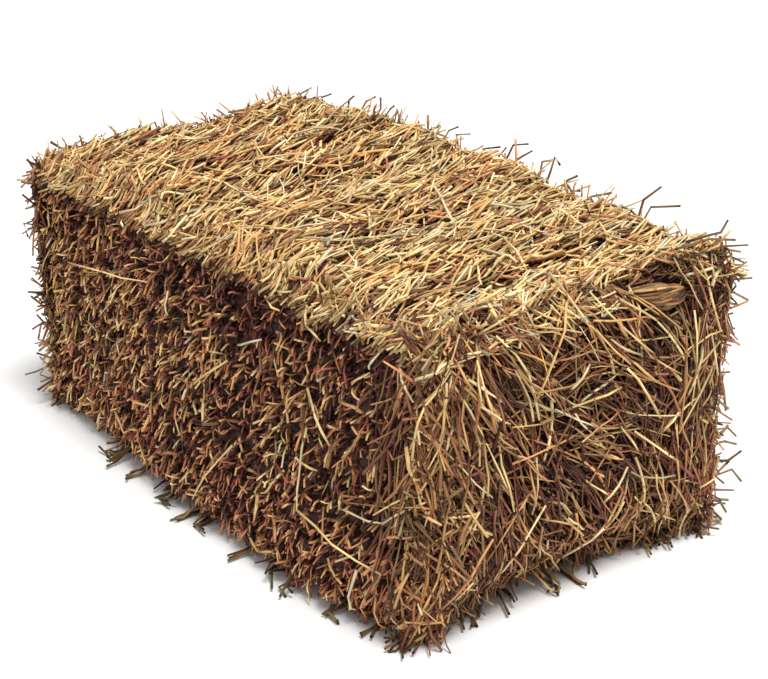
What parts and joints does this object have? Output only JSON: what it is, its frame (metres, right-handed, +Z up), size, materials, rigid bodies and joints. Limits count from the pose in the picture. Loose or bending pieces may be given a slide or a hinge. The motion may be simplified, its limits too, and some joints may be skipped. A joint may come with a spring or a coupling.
{
  "type": "square straw bale",
  "caption": "Rectangular bale of pressed golden straw: upright flakes side by side, cut stems bristling from the long sides, loose stems over the top and ends.",
  "frame": {"origin": "on the ground, under the middle of the bale's box", "axes": "+X along the bale towards the near end, which has the rolled wisp and hollow under its top edge; +Y across the bale; +Z up"},
  "size_m": [0.8998, 0.5414, 0.3874],
  "materials": {
    "straw": "dry matt straw, golden on top and browner in the gaps"
  },
  "bodies": {
    "root": {"flake_01": "straw", "flake_02": "straw", "flake_03": "straw", "flake_04": "straw", "flake_05": "straw", "flake_06": "straw", "flake_07": "straw", "flake_08": "straw", "flake_09": "straw", "flake_10": "straw", "flake_11": "straw", "flake_12": "straw", "flake_13": "straw", "flake_14": "straw"}
  },
  "joints": []
}
